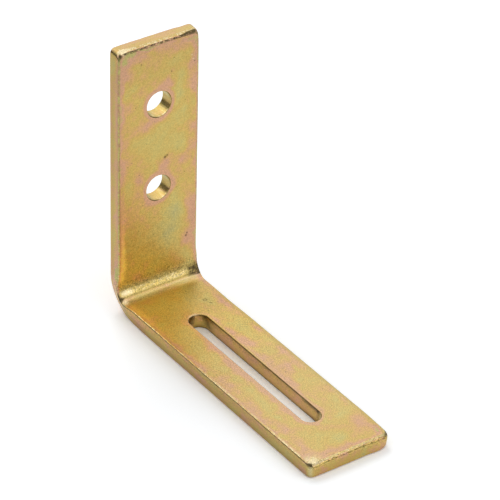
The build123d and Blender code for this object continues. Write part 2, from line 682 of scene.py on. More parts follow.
    def punch(self, bar: bpy.types.Object) -> None:
        """Cut the holes and the slot out of the flat bar.

        Args:
            bar: The flat bar.
        """
        for hole in self.punched:
            tool = hole.tool(self.thickness * 2)
            cut = bar.modifiers.new("punch", "BOOLEAN")
            cut.operation, cut.solver, cut.object = "DIFFERENCE", "EXACT", tool
            apply_modifier(bar, cut)
            bpy.data.objects.remove(tool, do_unlink=True)

    def round_edges(self, bar: bpy.types.Object) -> None:
        """Round the rims of the holes and slot, then the bar's outer edges.

        Args:
            bar: The flat bar.
        """
        def follows(edge: bpy.types.MeshEdge, gap: Callable[[float, float], float]) -> bool:
            """Tell whether an edge lies on a broad side and runs along an outline.

            Args:
                edge: The edge.
                gap: Gives a place's distance from the outline.

            Returns:
                True where it does.
            """
            ends = [bar.data.vertices[i].co for i in edge.vertices]
            if ends[0].y * ends[1].y < 0 or any(abs(abs(p.y) - self.thickness / 2) > 1e-3 for p in ends):
                return False
            return all(gap(p.x, p.z) < 0.05 for p in (*ends, (ends[0] + ends[1]) / 2))

        for gap, offset, segments in ((self.gap_rim, self.rim_rounding, 4),
                                      (self.gap_edge, self.edge_rounding, 6)):
            choose(bar, "edges", lambda edge: follows(edge, gap))
            bpy.ops.mesh.bevel(offset=offset, segments=segments, affect="EDGES")
            bpy.ops.object.mode_set(mode="OBJECT")

    def divide(self, bar: bpy.types.Object) -> None:
        """Cut the flat bar into a fine grid, so that it can be folded, roughened and tinted.

        Args:
            bar: The flat bar.
        """
        settled = self.fold_settling + 1.0
        along = (spaced(self.bottom, -self.fold_length - settled, self.grid_along)
                 + spaced(-self.fold_length - settled, settled, self.grid_fold)
                 + spaced(settled, self.top, self.grid_along))[1:]
        across = spaced(-self.width / 2, self.width / 2, self.grid_across)[1:]
        through = spaced(-self.thickness / 2, self.thickness / 2, self.grid_through)[1:]
        choose(bar, "polygons", lambda face: True)
        for places, direction in ((along, (0, 0, 1)), (through, (0, 1, 0)), (across, (1, 0, 0))):
            for place in places:
                bpy.ops.mesh.select_all(action="SELECT")
                bpy.ops.mesh.bisect(plane_co=[place * n for n in direction], plane_no=direction, threshold=1e-5)
        bpy.ops.object.mode_set(mode="OBJECT")

    def refine(self, bar: bpy.types.Object) -> None:
        """Divide the faces again where the sheared ends and the marks need finer detail.

        Args:
            bar: The flat bar.
        """
        def marked(face: bpy.types.MeshPolygon, reach: float) -> bool:
            """True for a face of the inner side within a reach of a mark, in the mark's radii."""
            x, y, z = face.center
            return y < 0 and any(mark.covers(x, z, reach) for mark in self.marks)

        def rolled(face: bpy.types.MeshPolygon) -> bool:
            """True for a face on the rolled edge of a sheared end."""
            _, y, z = face.center
            return min(self.top - z, z - self.bottom) < self.end_rounding + 1.0 and abs(y) > 0.6

        for test, cuts in ((lambda face: rolled(face) or marked(face, 2.0), 2),
                           (lambda face: marked(face, 1.6), 1)):
            choose(bar, "polygons", test)
            bpy.ops.mesh.subdivide(number_cuts=cuts)
            bpy.ops.object.mode_set(mode="OBJECT")

    def plate(self, bar: bpy.types.Object) -> None:
        """Write the numbers of the plating to the bar's mesh, place by place.

        Args:
            bar: The flat bar.
        """
        coats = [Plating(self, Place(*vertex.co)) for vertex in bar.data.vertices]
        for name in LAYERS:
            layer = bar.data.attributes.new(name, "FLOAT", "POINT")
            layer.data.foreach_set("value", [getattr(coat, name) for coat in coats])

    def rolled(self, at: Place) -> Vector:
        """Return how a place near the outline moves, where shearing has rolled the edge over.

        Args:
            at: The place on the flat bar.

        Returns:
            The shift, towards the rounding's centre.
        """
        near = self.rounding(at)
        if not near.bent:
            return Vector((0, 0, 0))
        pull = min(near.radius / math.hypot(near.off_gap, near.off_depth) - 1, 0.0)
        ragged = 0.05 * at.cloud(0.45, 3.3) * smooth(-pull, 0.0, 0.1) * (at.y < 0)
        share = pull + ragged * abs(near.outward.z)
        return Vector((near.outward.x * near.off_gap, near.outward.y * near.off_depth,
                       near.outward.z * near.off_gap)) * share

    def cornered(self, at: Place, outward: float) -> Vector:
        """Return how a place near a corner moves, where the shear left it rounder or squarer than its plan.

        Args:
            at: The place on the flat bar.
            outward: Place through the bar, 0 at the inner side and 1 at the outer.

        Returns:
            The shift, inwards along the corner's diagonal where it is rounder.
        """
        x, _, z = at
        inner, outer, foot = self.right_fill if x > 0 else self.left_fill
        foot += self.right_foot_gain * outward * (x > 0)
        fill = towards(inner, outer, outward) if z > 0 else foot
        reach = math.hypot(self.width / 2 - abs(x), z - (self.top if z > 0 else self.bottom))
        pull = fill * bump(reach, 0.7, 1.6) * math.sqrt(0.5)
        drawn = outward * smooth(z - self.top, -4.0, 0.0) * (z > 0)
        sag = 0.18 * smooth(x, 7.0, 11.5) * drawn
        splay = 0.42 * smooth(x, 12.0, 14.8) * drawn
        return Vector((splay - math.copysign(pull, x), 0, (-pull if z > 0 else pull) - sag))

    def widened(self, at: Place, outward: float) -> float:
        """Return how far a place moves across the bar, where folding and shearing spread or drew in its sides.

        Args:
            at: The place on the flat bar.
            outward: Place through the bar, 0 at the inner side and 1 at the outer.

        Returns:
            The shift towards +X, in millimetres.
        """
        x, _, z = at
        inward, side, right = 1 - outward, smooth(abs(x), 8, 14.5), smooth(x, 9, 14)
        spread = x / (self.width / 2) * self.crease(z) * (self.fold_spread * inward - self.fold_draw_in * outward)
        lips = 0.35 * bump(z, 0.5, 2.6) - 0.15 * math.exp((z - self.top) / 8)
        spread += math.copysign(side, x) * inward * lips
        spread += right * (0.20 * band(-z, 24, 40, 98, 108) + 0.25 * bump(z, -3, 3.5))
        return spread + 0.32 * smooth(-x, 9, 14) * bump(z, -12, 7) * outward

    def pressed(self, at: Place, outward: float) -> float:
        """Return how far a place moves through the bar, where folding curled it or something struck it.

        Args:
            at: The place on the flat bar.
            outward: Place through the bar, 0 at the inner side and 1 at the outer.

        Returns:
            The shift towards the outer side, in millimetres.
        """
        x, y, z = at
        half_width, shift = self.width / 2, 0.0
        squeezed = self.crease(z) * (1 - outward)
        if squeezed:
            curl = smooth(abs(x), half_width - self.curl_reach, half_width + 1.0) ** 1.5
            shift += squeezed * self.curl_depth * curl
            if -5 < self.folded(z) < 60:
                shift += squeezed * 0.05 * at.cloud(0.8, 6.6)
        if y < 0:
            shift += sum(mark.depth * mark.share(x, z) for mark in self.marks)
        return shift

    def form(self, bar: bpy.types.Object) -> None:
        """Give the flat bar the unevenness of shearing, folding and handling.

        Args:
            bar: The flat bar.
        """
        for vertex in bar.data.vertices:
            at = Place(*vertex.co)
            outward = at.y / self.thickness + 0.5
            shift = self.rolled(at) + self.cornered(at, outward)
            lean = self.shear_lean + 0.30 * band(at.x, 6.0, 10.0, 11.0, 14.5)
            swell = self.swell_depth * at.cloud(self.swell_size, 8.8)
            raised = abs(swell) if at.y > 0 else swell
            shift.x += self.widened(at, outward)
            shift.x += (swell if at.x > 0 else -swell) * (abs(at.x) > self.width / 2 - self.skin)
            shift.y += self.pressed(at, outward) - raised * (abs(at.y) > self.thickness / 2 - self.skin)
            shift.z -= lean * outward * smooth(self.bottom - at.z, -6.0, 0.0)
            vertex.co += shift

    def fold(self, bar: bpy.types.Object) -> None:
        """Fold the flat bar through a right angle and stand it in its frame.

        Args:
            bar: The flat bar.
        """
        heights = [vertex.co.z for vertex in bar.data.vertices]
        low, length = min(heights), max(heights) - min(heights)
        bend = bar.modifiers.new("fold", "SIMPLE_DEFORM")
        bend.deform_method, bend.deform_axis = "BEND", "X"
        bend.angle = -math.pi / 2
        bend.limits = ((-self.fold_length - low) / length, -low / length)
        apply_modifier(bar, bend)
        bar.location = (0, self.reach / 2 - self.thickness / 2, self.fold_outer_radius)
        bpy.ops.object.transform_apply(location=True, rotation=True, scale=True)
        bar.scale = (MILLIMETRE,) * 3
        bpy.ops.object.transform_apply(location=True, rotation=True, scale=True)

    def build(self) -> bpy.types.Object:
        """Model the bar flat, plate it, fold it and put it in the place of its node.

        Returns:
            The finished bracket.
        """
        bar = self.blank()
        self.punch(bar)
        self.round_edges(bar)
        self.divide(bar)
        self.refine(bar)
        self.plate(bar)
        self.form(bar)
        self.fold(bar)
        activate(bar)
        bpy.ops.object.shade_smooth_by_angle(angle=math.radians(40))
        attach(bar, "root")
        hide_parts(NODE)
        return bar


@dataclass
class Plating:
    """The plating in one place on the flat bar, after shearing, punching, folding and handling.

    Attributes:
        bar: The bar.
        at: The place.
        film_map: How thick the film is over the bar.
        film: Thickness of the film here, from 0 to 1.
        wear: How dark wear, dirt and painted shade make it.
        shine: How far a painted highlight lightens it towards pale.
        gloss: How much smoother than plain it is.
        grain: How coarse its grain is.
        glow: How much painted light brightens it, or painted shade darkens it where negative.
        rim: The nearest hole or slot.
        rim_gap: Distance from its rim, in millimetres.
        edge: The nearest rounded edge.
        at_end: How far that edge is a sheared end's, from 0 to 1.
        at_side: How far it is a long side's.
        depth: Depth below the nearer broad side, in millimetres.
        upright: 1 on the upright, 0 on the foot.
        beads: Fine noise that breaks up wear, painted shade and painted highlights.
    """

    bar: FoldedBar
    at: Place
    film_map: FilmMap = FilmMap()
    film: float = 0.0
    wear: float = 0.0
    shine: float = 0.0
    gloss: float = 0.0
    grain: float = 0.0
    glow: float = 0.0
    rim: Punched = field(init=False)
    rim_gap: float = field(init=False)
    edge: Rounding = field(init=False)
    at_end: float = field(init=False)
    at_side: float = field(init=False)
    depth: float = field(init=False)
    upright: float = field(init=False)
    beads: float = field(init=False)

    def __post_init__(self) -> None:
        """Measure the place and coat it."""
        x, y, z = self.at
        self.rim, self.edge = self.bar.nearest_rim(x, z), self.bar.rounding(self.at)
        self.rim_gap, self.depth = self.rim.gap(x, z), self.bar.thickness / 2 - abs(y)
        self.at_end, self.at_side = abs(self.edge.outward.z), abs(self.edge.outward.x)
        self.upright = smooth(z, -6, 0)
        self.beads = self.at.cloud(0.5, 7.1) + 0.6 * self.at.cloud(1.3, 5.1)
        self.coat()

    def tinge(self, film: float, share: float) -> None:
        """Move the film towards a thickness by a share of the way."""
        self.film = towards(self.film, film, share)

    def coat(self) -> None:
        """Put the coat on: first what the place's face gives it, then what edges, corners and marks add."""
        walled, narrow = smooth(-self.rim_gap, -0.35, -0.05), self.depth > NARROW_DEPTH
        if self.at.y <= 0:
            self.coat_fold()
            self.coat_corner()
        if walled > 0.5:
            self.coat_wall()
        elif narrow:
            self.coat_narrow()
        else:
            self.coat_broad()
        at_rim = self.at.y < 0 and abs(self.rim_gap) < RIM_REACH and self.depth < RIM_REACH
        if at_rim:
            self.coat_rim()
        if self.at.y < 0 and self.edge.bent:
            self.coat_edge()
            self.coat_bar_corners()
        self.coat_patches()
        self.coat_grain()
        self.gloss = max(0.4 * walled, 0.9 * self.edge.bent, 0.9 * at_rim, 0.4 * narrow)
        self.film, self.wear, self.shine = clamp(self.film), clamp(self.wear), clamp(self.shine)

    def coat_grain(self) -> None:
        """Set the grain: hammered in the fold's inner side, finer in the shade of the inner corner."""
        x, y, z = self.at
        phi = self.bar.folded(z)
        hammered = band(phi, -25, 5, 44, 52) * (1 - 0.8 * smooth(-x, 9.0, 10.5) * smooth(phi, 18, 26))
        shaded = 0.5 * bump(z, 0, 24) * (1 - smooth(x, 2, 12))
        plain = (0.75 - 0.13 * smooth(-z, 50, 80)) * smooth(-z, 9, 14)
        self.grain = max(hammered, shaded, plain) * (y < 0)

    def coat_fold(self) -> None:
        """Coat the fold's inner side with painted highlight in a bright band, a block at its left, a line and
        spots, and painted shade in speckled bands and at its dark ends.
        """
        x, y, z = at = self.at
        phi = self.bar.folded(z)
        if not -30 < phi < 110:
            return
        rough, haze, warm = at.cloud(0.6, 2.2), at.cloud(2.0, 9.4), smooth(x, -2, 7)
        # Painted shade: dark speckles in a haze above the bright band, and two thinner dark bands lower in the
        # fold
        above = band(phi, -14 - 14 * haze, 10, 18, 24)
        self.wear += above * (0.03 + 0.80 * max(rough, 0))
        self.wear += band(phi, 45, 48, 49, 53) * (0.32 - 0.06 * warm + 0.3 * rough)
        self.wear += band(phi, 60, 66, 68, 80) * (0.10 * (1 - warm) + 0.4 * max(rough, 0))
        # Painted shade: a dark patch at the fold's right end, and a dark line along its left edge
        edge = 9.4 + 0.6 * haze + 2.2 * rough
        self.wear += smooth(x, edge, edge + 2.2) * band(phi, 17, 30, 54, 60) * (0.84 + 0.7 * rough)
        inset = 14.6 - bump(phi, 49, 7)
        left_edge_shade = smooth(-x, inset - 0.25, inset + 0.25) * smooth(-y, 1.7, 2.2)
        self.wear += 0.85 * left_edge_shade * band(phi, 22, 36, 56, 61)
        # Painted highlight: the bright band, a block at its left end, a line below it, a spot at the left and
        # glints at the right
        highlight_strip = band(phi, 22, 28, 40, 47) * band(x, -15.4, -14.8, 8.8, 11.2)
        left_highlight = band(x, -14.1, -13.4, -10.6, -9.4) * bump(phi, 34, 9)
        line = bump(phi, 57.5, 3.6) * smooth(x, -15.0, -13.5)
        end = bump(x, -13.9, 0.9) * bump(phi, 66, 10)
        right = band(x, 5.0, 9.0, 12.5, 14.0) * bump(phi, 66, 8)
        shine = highlight_strip * max(0.06 + 0.14 * warm + 0.7 * rough, 0) + (0.20 + 0.16 * warm) * line
        shine += 0.75 * left_highlight + end + 0.25 * right * (1 + 1.5 * rough)
        self.shine += max(shine, 0.0)
        # Painted light over the bright band, the line, the left spot and the fold's upper part; low in the fold,
        # painted light on the right and painted shade on the left
        self.glow += 0.13 * highlight_strip + 0.04 * line + 0.25 * end
        self.glow += 0.14 * bump(phi, 10, 12) + (0.28 * warm - 0.15) * bump(phi, 72, 7)

    def coat_corner(self) -> None:
        """Paint light into the inner corner, most on the lips that folding raised along its left edge, and over
        broad bands of the upright and the foot.
        """
        x, _, z = at = self.at
        waver = 0.35 * at.cloud(1.5, 2.7)
        upper = 0.72 * bump(x + waver - 0.4 * smooth(z, 0, 8), -13.7, 0.95)
        self.glow += upper * smooth(-z, -30, -8) * smooth(z, -1.5, 1.5)
        self.glow += 0.35 * bump(x + waver, -13.4, 1.2) * band(-z, 11, 13, 19, 34)
        self.glow += 0.15 * band(-z, 11, 14, 28, 44) * (1 - smooth(x, 2, 9))
        self.glow += 0.05 * bump(z, 8, 8) + 0.07 * (band(z, 14, 24, 66, 76) + band(-z, 26, 32, 50, 58))

    def coat_wall(self) -> None:
        """Coat the inside of a hole or the slot, grooved and dirtied by the punch, with painted highlights on a
        hole's grooves, painted light at its lower right and painted shade at its lower left.
        """
        at, rim = self.at, self.rim
        self.film = self.film_map.wall(at, rim)
        self.wear += 0.05 + 0.10 * max(self.beads, 0)
        if at.z < 0:
            self.coat_slot_wall()
            return
        right, up = (at.x - rim.across) / rim.radius, (at.z - rim.along) / rim.radius
        # Painted highlights on the grooves, painted light at the lower right, painted shade at the lower left near
        # the inner side
        self.shine += 0.45 * max(at.cloud(0.45, 8.8, (1, 0.15, 1)), 0.0)
        self.glow += 0.22 * smooth(-up, 0.2, 0.6) * smooth(right, -0.4, 0.2)
        self.wear += 0.55 * smooth(-up, 0.4, 0.7) * (1 - smooth(right, -0.2, 0.1)) * smooth(-at.y, 1.7, 2.2)

    def coat_slot_wall(self) -> None:
        """Coat the slot's wall with painted light along a run, painted shade in a dark line under the rim, along
        its outer edge and towards both ends, a painted highlight at its near end and a spot of painted light at
        its far end.
        """
        x, y, z = at = self.at
        under = max(0.75 + 0.5 * smooth(-z, 81, 84) + 0.55 * at.cloud(2.2, 5.3, (1, 0, 1)), 0.35)
        line = (y < 0) * (1 - smooth(self.depth, 0.3, under)) * smooth(x, 0.5, 2.5)
        line *= 1 - 0.8 * smooth(-z, 90.8, 91.6)
        far_left = (1 - smooth(x, 0.0, 0.9)) * smooth(z, -31.5, -30.0) * smooth(-y, -1.4, -0.2)
        far_right = bump(z + 0.7 * (y + 0.8), -30.2, 1.5) * smooth(x, 2.2, 2.9) * (1 - smooth(y, 1.0, 2.0))
        near = band(-z, 89.3, 90.0, 90.5, 90.9)
        near += band(-z, 82.0, 86.0, 90.0, 91.0) * (1 - smooth(self.depth, 0.8, 1.3))
        # Painted shade under the rim, along the outer edge and at both ends; painted highlight at the near end;
        # painted light along the run and in a spot at the far end
        self.wear += 0.36 * line + 0.65 * smooth(y, 1.5, 2.2)
        self.shine += 0.65 * bump(z, -91.5, 0.4) * (x > 0) * smooth(y, -2.2, -1.2)
        self.glow += (0.16 * band(-z, 32.5, 36, 88, 91) - 0.32 * near) * (x > 0)
        self.glow -= 0.30 * line + 0.48 * far_left + 0.50 * far_right
        self.glow += 0.30 * bump(math.dist(at, (1.4, 0.0, -28.0)), 0, 1.5)

    def coat_narrow(self) -> None:
        """Coat a narrow face: painted light on the upright's left face and the foot's end face, painted highlight
        glints on the upright's sheared end, and painted shade darkening the foot's long faces towards the floor.
        """
        x, y, z = at = self.at
        foot = 1 - self.upright
        self.film = self.film_map.narrow(at)
        # Painted light on the upright's left face and the foot's end face, and painted highlight glints on the
        # upright's sheared end
        self.glow += 0.09 * bump(z, 22, 16) * (x < 0) + 0.06 * self.at_end * foot
        self.shine += 0.10 * smooth(z, 83.0, 84.0) * (1 + 1.2 * at.cloud(0.8, 4.9, (0.1, 1.6, 1)))
        # Painted shade darkens the foot's long faces towards the floor
        below = 0.08 + 0.25 * smooth(y, -0.5, 2.5)
        self.wear += 0.05 + foot * self.at_side * below * smooth(-z, 10, 20)

    def coat_broad(self) -> None:
        """Coat a broad side, with painted highlight growing towards the foot's end."""
        x, y, z = self.at
        self.film = self.film_map.broad(self.at, self.edge.gap, self.rim)
        # Painted highlight growing towards the foot's end, a little less at its far end's middle and right
        self.shine += 0.14 * smooth(-z, 40, 60) - 0.06 * smooth(-z, 92, 104) * smooth(x, -10, -2)
        self.tinge(0.70, 0.8 * band(-z, 1.2, 3.2, 6.6, 7.4) * (y < 0))

    def coat_rim(self) -> None:
        """Coat a punched rim: a thin dark ring with beads of painted highlight inside it, brighter on the holes'
        lower right and on the slot's right side.
        """
        x, _, z = self.at
        gap = self.rim_gap
        lit = smooth(x, -1.0, 2.0) * smooth(self.rim.along - z, 1.0, 2.5) * (z > 0)
        lit += 0.6 * (x > 0) * band(-z, 78.0, 82.0, 91.0, 92.5)
        self.wear += 0.60 * band(gap, 0.0, 0.10, 0.16, 0.22)
        # Beads of painted highlight
        self.shine += (0.35 + 0.9 * lit) * (1 - smooth(gap, 0.0, 0.12)) * max(self.beads + 0.4, 0.0)

    def coat_edge(self) -> None:
        """Coat the inner side's rounded edge: beads and dirt at the sheared ends with painted highlight beside
        them, pale film along the sides, and along the foot's sides a line of painted shade and, on the left, a
        line of painted highlight.
        """
        x, _, z = at = self.at
        turn, upright, beads = self.edge.turn, self.upright, self.beads
        at_end, along_side, foot = self.at_end, 1 - self.at_end, 1 - self.upright
        low, high = 0.40 + (0.08 - 0.20 * smooth(x, 7, 12)) * upright, 0.68 + 0.10 * upright
        dirt = (0.74 + 0.20 * smooth(x, 4, 12)) * upright + 0.10
        dirt *= band(turn, low, low + 0.10, high, high + 0.12)
        self.wear += at_end * dirt * max(1 + 1.5 * beads * (1 - 0.7 * smooth(x, 6, 11)), 0)
        # Painted highlight beside the dirt on the upright's sheared end
        over = band(turn, 0.08, 0.2, low - 0.05, low + 0.1)
        self.shine += at_end * over * upright * max(0.34 + 1.5 * beads, 0)
        self.tinge(0.60, at_end * upright * (1 - smooth(turn, 0.4, 0.6)))
        edged = along_side * smooth(turn, 0.05, 0.2)
        self.tinge(0.12 + 0.45 * foot + 0.25 * beads, edged)
        self.wear += edged * upright * smooth(z, 8, 26) * max(0.20 + 0.35 * beads, 0)
        # A line of painted shade along the foot's edges, and on its left a line of painted highlight
        self.wear += along_side * foot * band(turn, 0.1, 0.2, 0.45, 0.6) * max(0.38 + 0.5 * beads, 0)
        lit = smooth(turn, 0.55, 0.7) * smooth(-z, 12, 16) * (x < 0)
        self.shine += along_side * lit * max(0.35 + 1.1 * beads + 0.9 * at.cloud(7, 1.9), 0)

    def coat_bar_corners(self) -> None:
        """Coat the inner side's corners with painted shade on their edge and painted highlight beside it."""
        x, _, z = self.at
        turn, at_end, at_side = self.edge.turn, self.at_end, self.at_side
        half_width, bottom = self.bar.width / 2, self.bar.bottom
        far, near = spot(x, z, -half_width, self.bar.top, 2.0), spot(x, z, -half_width, bottom, 1.6)
        # Painted shade on the corners' edges, and painted highlight beside them
        facing = band(turn, 0.25, 0.4, 0.66, 0.8)
        self.wear += 1.3 * facing * (far * smooth(at_side, 0.45, 0.8) + near * smooth(at_side, 0.15, 0.4))
        self.wear += 0.55 * facing * spot(x, z, half_width, bottom, 2.4)
        self.shine += 1.2 * (far * (1 - smooth(at_side, 0.3, 0.6)) + near * smooth(turn, 0.68, 0.82))
        # Painted highlight on the upright's sheared end at its left, and on the foot's end edge
        top_left_highlight = bump(x, -13.2, 2.4) * (z > 0) * at_end * (1 - smooth(turn, 0.36, 0.5))
        self.shine += 0.9 * top_left_highlight
        self.glow += 0.12 * top_left_highlight
        self.tinge(0.97, 0.6 * top_left_highlight)
        creamy = at_end * band(turn, 0.40, 0.5, 0.70, 0.82) * (1 - self.upright)
        self.shine += creamy * max(0.26 + 0.6 * self.beads, 0)
        self.tinge(0.85, 0.7 * creamy)

    def coat_patches(self) -> None:
        """Coat what is seen in one place only: painted highlights at the foot's near left corner, beside the
        slot's far end and along the foot's right edge, a greyed edge, and the marks.
        """
        x, y, z = self.at
        # Painted highlight down the foot's near left corner
        highlight_strip = spot(x, z, -self.bar.width / 2, self.bar.bottom, 0.95) * (self.depth > NARROW_DEPTH)
        self.shine += 0.7 * highlight_strip
        self.tinge(0.98, min(highlight_strip * 1.3, 1.0))
        if y >= 0:
            return
        if self.depth < 0.8:
            # Painted highlights near that corner, beside the slot's far end and along the foot's right edge
            pale = spot(x, z, -12.8, self.bar.bottom + 1.8, 2.1)
            slot_end_highlight = bump(x, 0.2, 1.8) * bump(z, -27.2, 1.6) * (self.rim_gap > 0)
            greyed = smooth(x, 12.4, 14.4) * smooth(-z, 16, 26)
            right_edge_highlight = bump(x, 13.4, 0.22) * band(-z, 58, 64, 96, 102)
            self.shine += 0.85 * pale * max(1 + 0.8 * self.beads, 0)
            self.shine += 0.8 * slot_end_highlight * (1 - smooth(self.rim_gap, 0.25, 0.9))
            self.shine += 0.55 * right_edge_highlight * max(self.beads + 0.3, 0)
            self.wear += 0.12 * greyed
            self.tinge(0.95, 0.45 * greyed)
        # Dents darken; bright marks get a painted highlight
        for mark in self.bar.marks:
            share = mark.share(x, z)
            self.wear += mark.darkness * share
            self.shine += 0.8 * share * mark.bright


class NodeBench:
    """Lays out the nodes of one material and links them."""

    def __init__(self, name: str) -> None:
        """Start an empty material with its shader.

        Args:
            name: Name of the material.
        """
        self.material = bpy.data.materials.new(name)
        self.material.use_nodes = True
        self.tree = self.material.node_tree
        self.shader = self.tree.nodes["Principled BSDF"]

    def add(self, kind: str, sockets: dict | None = None, **settings: object) -> bpy.types.Node:
        """Add a node.

        Args:
            kind: Blender's name of the node type.
            sockets: Input values or output sockets to link, by the input's name or number.
            **settings: Properties of the node.

        Returns:
            The new node.
        """
        made = self.tree.nodes.new(kind)
        for name, value in settings.items():
            setattr(made, name, value)
        for name, value in (sockets or {}).items():
            self.feed(made.inputs[name], value)
        return made

    def feed(self, socket: bpy.types.NodeSocket, value: object) -> None:
        """Give a socket a value, or link it where the value is another node's output.

        Args:
            socket: The input.
            value: Its value, or the output to link to it.
        """
        if isinstance(value, bpy.types.NodeSocket):
            self.tree.links.new(value, socket)
        else:
            socket.default_value = value

    def math(self, operation: str, *values: object, limited: bool = False) -> bpy.types.NodeSocket:
        """Add a Math node and return its result.

        Args:
            operation: The operation's name.
            *values: Numbers or sockets, in order.
            limited: True to keep the result between 0 and 1.

        Returns:
            The node's output.
        """
        made = self.add("ShaderNodeMath", dict(enumerate(values)), operation=operation, use_clamp=limited)
        return made.outputs[0]

    def attribute(self, name: str) -> bpy.types.NodeSocket:
        """Return one of the piece's own numbers."""
        return self.add("ShaderNodeAttribute", attribute_name=name).outputs["Fac"]

    def speckle(self, place: bpy.types.NodeSocket, scale: float, detail: float = 2.0,
                roughness: float = 0.5) -> bpy.types.NodeSocket:
        """Return noise of a given fineness, in patches per metre."""
        return self.add("ShaderNodeTexNoise", {"Vector": place, "Scale": scale, "Detail": detail,
                                               "Roughness": roughness}).outputs["Fac"]

    def ramp(self, factor: bpy.types.NodeSocket, stops: Sequence[tuple[float, tuple]]) -> bpy.types.NodeSocket:
        """Return a colour picked from a row of stops.

        Args:
            factor: Where along the row to pick, from 0 to 1.
            stops: Each stop's position and colour.

        Returns:
            The colour's output.
        """
        made = self.add("ShaderNodeValToRGB", {"Fac": factor})
        elements = made.color_ramp.elements
        while len(elements) < len(stops):
            elements.new(1.0)
        for element, (position, colour) in zip(elements, stops):
            element.position = position
            element.color = (*colour, 1)
        return made.outputs["Color"]


def matt_material(name: str, albedo: float) -> bpy.types.Material:
    """Make a matt grey material.

    Args:
        name: Its name.
        albedo: The share of light that it gives back.

    Returns:
        The material.
    """
    bench = NodeBench(name)
    bench.shader.inputs["Base Color"].default_value = (albedo,) * 3 + (1,)
    bench.shader.inputs["Roughness"].default_value = 1.0
    return bench.material


@dataclass(frozen=True)
class YellowZinc:
    """Satin zinc plating with a yellow passivation film, whose colour follows the film's thickness."""

    moss: Triple = (0.490, 0.450, 0.160)
    rose: Triple = (0.630, 0.365, 0.225)
    salmon: Triple = (0.640, 0.395, 0.170)
    gold: Triple = (0.610, 0.435, 0.130)
    lime: Triple = (0.590, 0.480, 0.160)
    mist: Triple = (0.495, 0.445, 0.190)
    # The dark colour of wear, dirt and painted shade, and the pale colour of painted highlights
    shade_and_dirt: Triple = (0.10, 0.075, 0.035)
    pale: Triple = (0.86, 0.72, 0.44)
    roughness: float = 0.36
    gloss_roughness: float = 0.20

    # Fineness of the noise, in patches per metre
    mottle_scale: float = 420
    coarse_scale: float = 1900
    fine_scale: float = 2300
    pit_scale: float = 3000

    # Dark specks: cells per metre, how few cells hold one, its radius as a share of the cell, how dark it is
    speck_scale: float = 700
    speck_rarity: float = 0.86
    speck_radius: float = 0.14
    speck_wear: float = 0.45

    # Height of the grit and of the hammered ridges, in metres
    grit_height: float = 0.00003
    ridge_height: float = 0.00015

    def material(self) -> bpy.types.Material:
        """Build the plating's material.

        Returns:
            The material.
        """
        bench = NodeBench("yellow_zinc")
        place = bench.add("ShaderNodeTexCoord").outputs["Object"]
        film, wear, shine, gloss, grain, glow = (bench.attribute(name) for name in LAYERS)
        mottle = bench.speckle(place, self.mottle_scale, 3.0, 0.6)
        fine = bench.speckle(place, self.fine_scale, 2.0, 0.6)
        drift = bench.math("MULTIPLY_ADD", mottle, 0.22, -0.11)
        dust = bench.math("MULTIPLY_ADD", fine, 0.30, -0.15)
        thick = bench.math("ADD", bench.math("ADD", film, drift), dust, limited=True)
        colour = bench.ramp(thick, ((0.0, self.moss), (0.08, self.moss), (0.24, self.rose), (0.36, self.rose),
                                    (0.48, self.salmon), (0.62, self.gold), (0.80, self.lime), (1.0, self.mist)))
        pits = bench.speckle(place, self.pit_scale, 1.0, 0.5)
        depth = bench.math("MULTIPLY_ADD", grain, 1.2, 0.62)
        # Painted light raises the colour's level, or lowers it as painted shade, and painted highlight mixes in
        # the pale colour
        level = bench.math("MULTIPLY_ADD", bench.math("SUBTRACT", pits, 0.5), depth, bench.math("ADD", glow, 1.0))
        mixed = bench.add("ShaderNodeMix", {0: shine, 6: colour, 7: (*self.pale, 1)}, data_type="RGBA").outputs[2]
        bright = bench.add("ShaderNodeVectorMath", {0: mixed, "Scale": level}, operation="SCALE").outputs[0]
        cells = bench.add("ShaderNodeTexVoronoi", {"Vector": place, "Scale": self.speck_scale}, feature="F1")
        rare = bench.math("GREATER_THAN", bench.add("ShaderNodeSeparateColor", {
            "Color": cells.outputs["Color"]}).outputs[0], self.speck_rarity)
        speck = bench.math("MULTIPLY", rare, bench.math("LESS_THAN", cells.outputs["Distance"], self.speck_radius))
        coarse = bench.speckle(place, self.coarse_scale, 2.0, 0.6)
        hammered = bench.add("ShaderNodeMapRange", {"Value": coarse, "From Min": 0.50, "From Max": 0.66,
                                                    "To Max": 0.48}).outputs[0]
        dents = bench.math("MULTIPLY", hammered, bench.math("MULTIPLY_ADD", grain, 2.0, -1.0, limited=True))
        # Wear, dirt, specks, dents and painted shade darken the colour towards the dark one
        shade = bench.math("MAXIMUM", wear, bench.math("MULTIPLY", speck, self.speck_wear), limited=True)
        shade = bench.math("ADD", shade, dents, limited=True)
        worn_and_shaded = bench.add("ShaderNodeMix", {0: shade, 6: bright, 7: (*self.shade_and_dirt, 1)}, data_type="RGBA").outputs[2]
        bench.feed(bench.shader.inputs["Base Color"], worn_and_shaded)
        bench.shader.inputs["Metallic"].default_value = 1.0
        rough = bench.math("MULTIPLY_ADD", mottle, 0.10, self.roughness - 0.05)
        rough = bench.math("MULTIPLY_ADD", gloss, self.gloss_roughness - self.roughness, rough)
        bench.feed(bench.shader.inputs["Roughness"], bench.math("MULTIPLY_ADD", wear, 0.12, rough))
        grit = bench.add("ShaderNodeBump", {"Strength": 0.5, "Distance": self.grit_height, "Height": fine})
        lift = bench.math("MULTIPLY", coarse, grain)
        ridge = bench.add("ShaderNodeBump", {"Strength": 0.8, "Distance": self.ridge_height, "Height": lift,
                                             "Normal": grit.outputs["Normal"]})
        bench.feed(bench.shader.inputs["Normal"], ridge.outputs["Normal"])
        return bench.material


